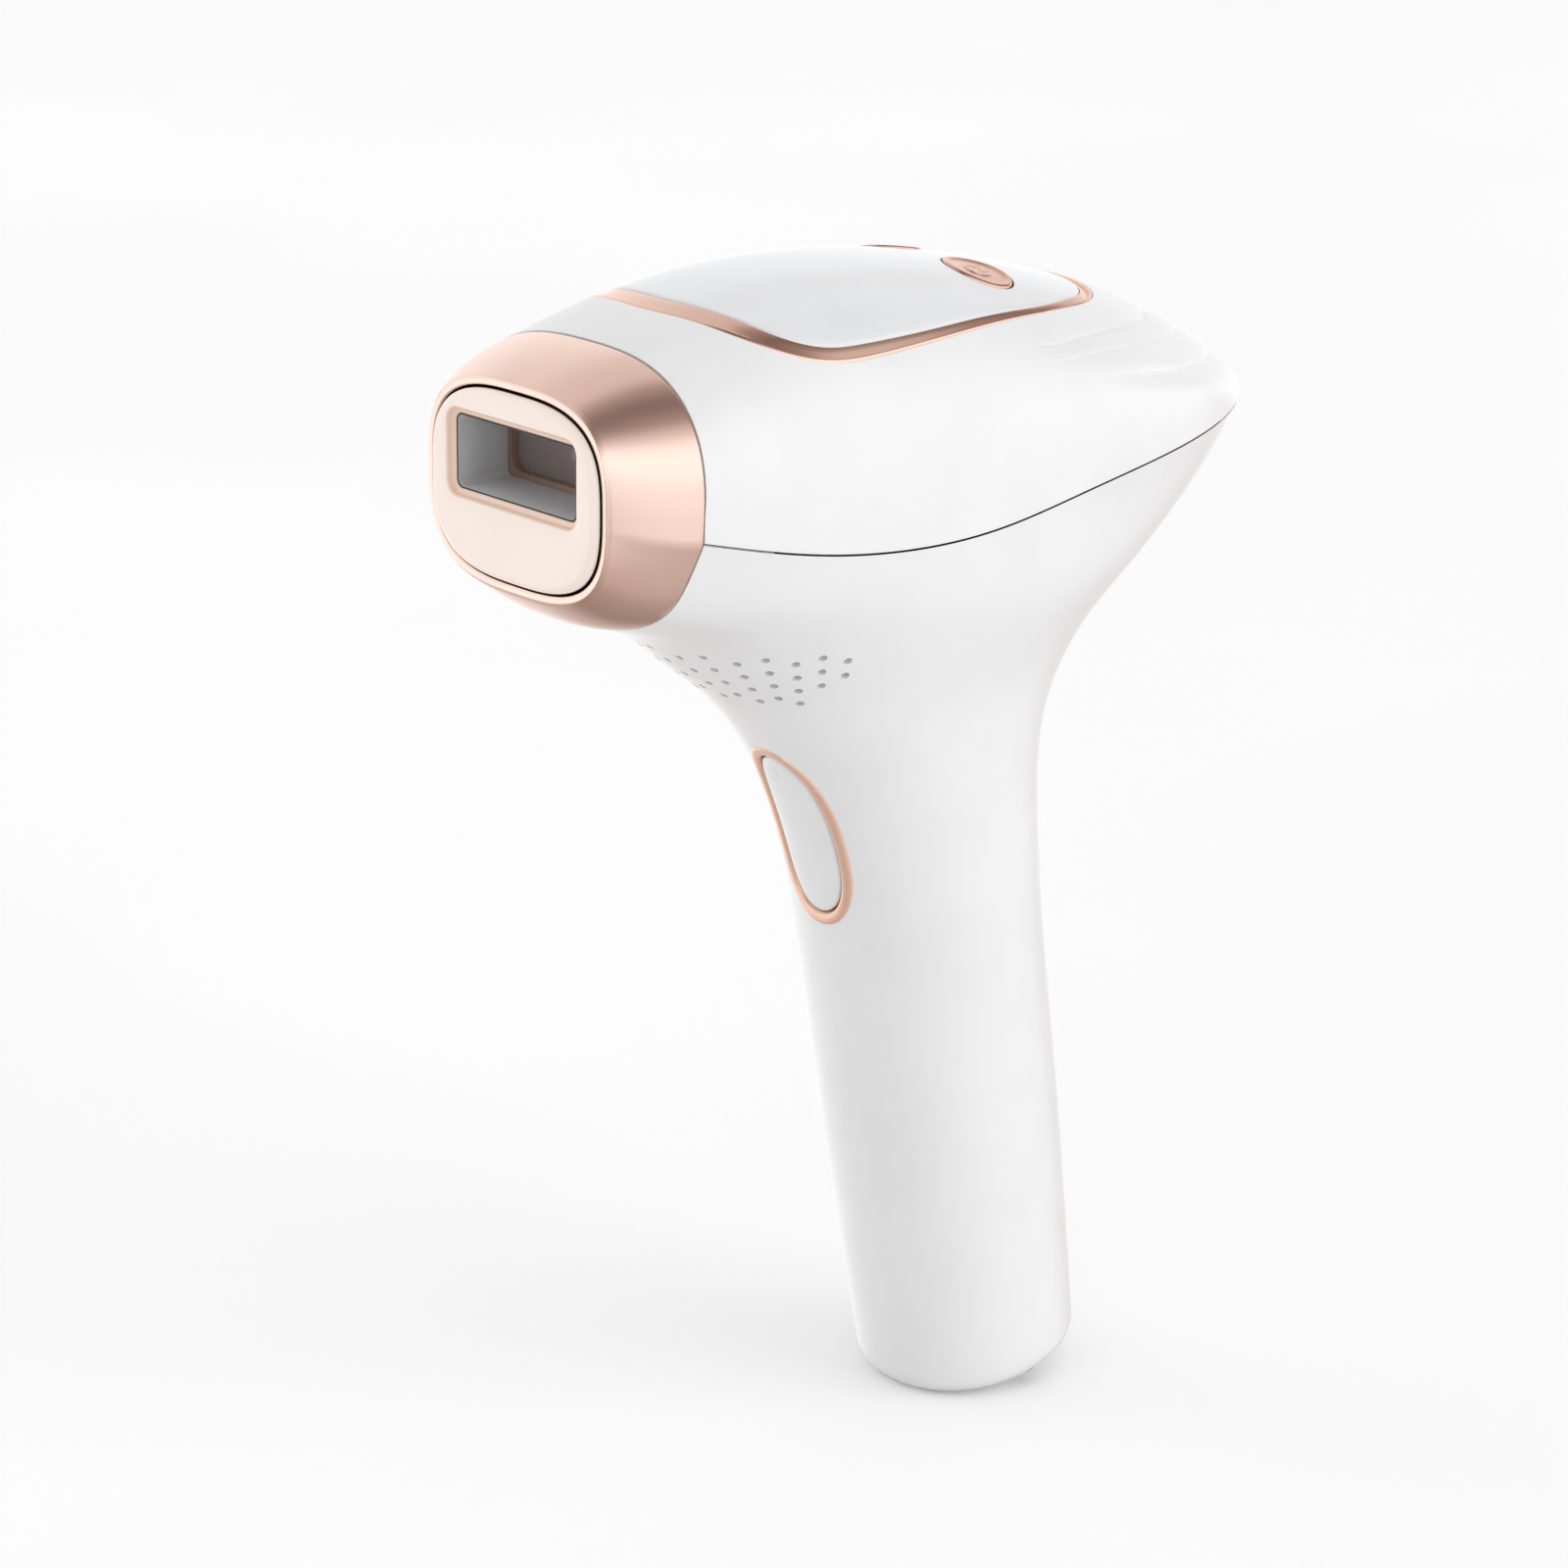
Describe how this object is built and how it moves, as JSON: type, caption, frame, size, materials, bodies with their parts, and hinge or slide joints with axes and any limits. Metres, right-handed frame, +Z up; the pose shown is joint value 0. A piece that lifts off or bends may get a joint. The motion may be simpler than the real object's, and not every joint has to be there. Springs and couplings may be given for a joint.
{
  "type": "ipl hair remover",
  "caption": "Handheld IPL hair remover: leaning grip with flash button, floating face plate round a flash window, top panel with two buttons, cooled lamp unit inside",
  "frame": {"origin": "middle of the grip on the handle axis", "axes": "+Z up, flash window faces -Y, +X is the right-hand side, X = 0 is the mirror plane of the body"},
  "size_m": [0.0632, 0.1493, 0.1957],
  "materials": {
    "white_shell": "satin moulded white plastic, pearl gloss",
    "white_key": "satin white plastic",
    "rose_gold": "rose-gold vacuum-metallised plastic, satin bright",
    "rose_trim": "rose-gold metallised trim, bright edges",
    "face_peach": "pale peach satin face",
    "tunnel_grey": "smooth mid-grey heat-resistant plastic",
    "copper_frame": "brown coppery frame",
    "filter_glass": "amber-tinted filter glass",
    "quartz": "clear quartz tube",
    "electrode": "nickel-plated cap",
    "mirror_sheet": "polished reflector sheet",
    "lamp_holder": "ceramic-filled holder",
    "sink_alloy": "extruded alloy, fine lines",
    "fan_black": "black glass-filled plastic",
    "chassis_grey": "grey moulded chassis plastic",
    "board_green": "green solder resist",
    "ferrite": "sintered ferrite",
    "winding": "enamelled copper wire",
    "component_black": "black component body",
    "cell_sleeve": "dark blue shrink sleeve",
    "tin": "tinned pin",
    "steel": "zinc-plated screw steel",
    "spring_steel": "spring wire",
    "lead_jacket": "silicone lead jacket",
    "socket_black": "black socket moulding"
  },
  "bodies": {
    "body": {"lower_housing": "white_shell", "top_cover": "white_shell", "top_panel": "white_shell", "nose_bezel": "rose_gold", "window_frame": "tunnel_grey", "panel_trim": "rose_trim", "trigger_ring": "rose_trim", "end_cap": "white_shell", "filter_frame": "copper_frame", "filter_glass": "filter_glass", "flash_lamp": "quartz", "lamp_electrodes": "electrode", "lamp_reflector": "mirror_sheet", "lamp_holder": "lamp_holder", "heat_sink": "sink_alloy", "fan_frame": "fan_black", "chassis_tray": "chassis_grey", "main_board": "board_green", "transformer_core": "ferrite", "transformer_winding": "winding", "trigger_coil": "component_black", "board_capacitors": "component_black", "power_transistors": "component_black", "control_board": "board_green", "panel_switches": "component_black", "trigger_switch": "component_black", "trigger_board": "board_green", "switch_carrier": "chassis_grey", "trigger_spring": "spring_steel", "plate_springs": "spring_steel", "skin_switches": "component_black", "flash_capacitor": "cell_sleeve", "capacitor_terminals": "tin", "dc_socket": "socket_black", "socket_pin": "tin", "tray_screws": "steel", "cap_screws": "steel", "board_screws": "steel", "supply_leads": "lead_jacket", "lamp_leads": "lead_jacket"},
    "contact_plate": {"contact_plate": "face_peach"},
    "trigger_button": {"trigger_button": "white_key"},
    "power_button": {"power_button": "rose_trim"},
    "mode_button": {"mode_button": "rose_trim"},
    "fan_rotor": {"fan_rotor": "fan_black"}
  },
  "joints": [
    {"name": "contact_plate_press", "type": "slide", "parent": "body", "child": "contact_plate", "axis": [0, 1, 0], "range_m": [0, 0.0008], "stiffness_N_per_m": 1500, "springref_m": -0.0006, "deforming": ["plate_springs"]},
    {"name": "trigger_press", "type": "slide", "parent": "body", "child": "trigger_button", "axis": [0, 0.9272, 0.3746], "range_m": [0, 0.001], "stiffness_N_per_m": 1200, "springref_m": -0.0008, "deforming": ["trigger_spring"]},
    {"name": "power_button_press", "type": "slide", "parent": "body", "child": "power_button", "axis": [0, 0, -1], "range_m": [0, 0.0004], "stiffness_N_per_m": 3000, "springref_m": -0.0003},
    {"name": "mode_button_press", "type": "slide", "parent": "body", "child": "mode_button", "axis": [0, 0, -1], "range_m": [0, 0.0004], "stiffness_N_per_m": 3000, "springref_m": -0.0003},
    {"name": "fan_spin", "type": "hinge", "parent": "body", "child": "fan_rotor", "pos_m": [0, -0.033, 0.112], "axis": [0, 1, 0], "continuous": true}
  ]
}
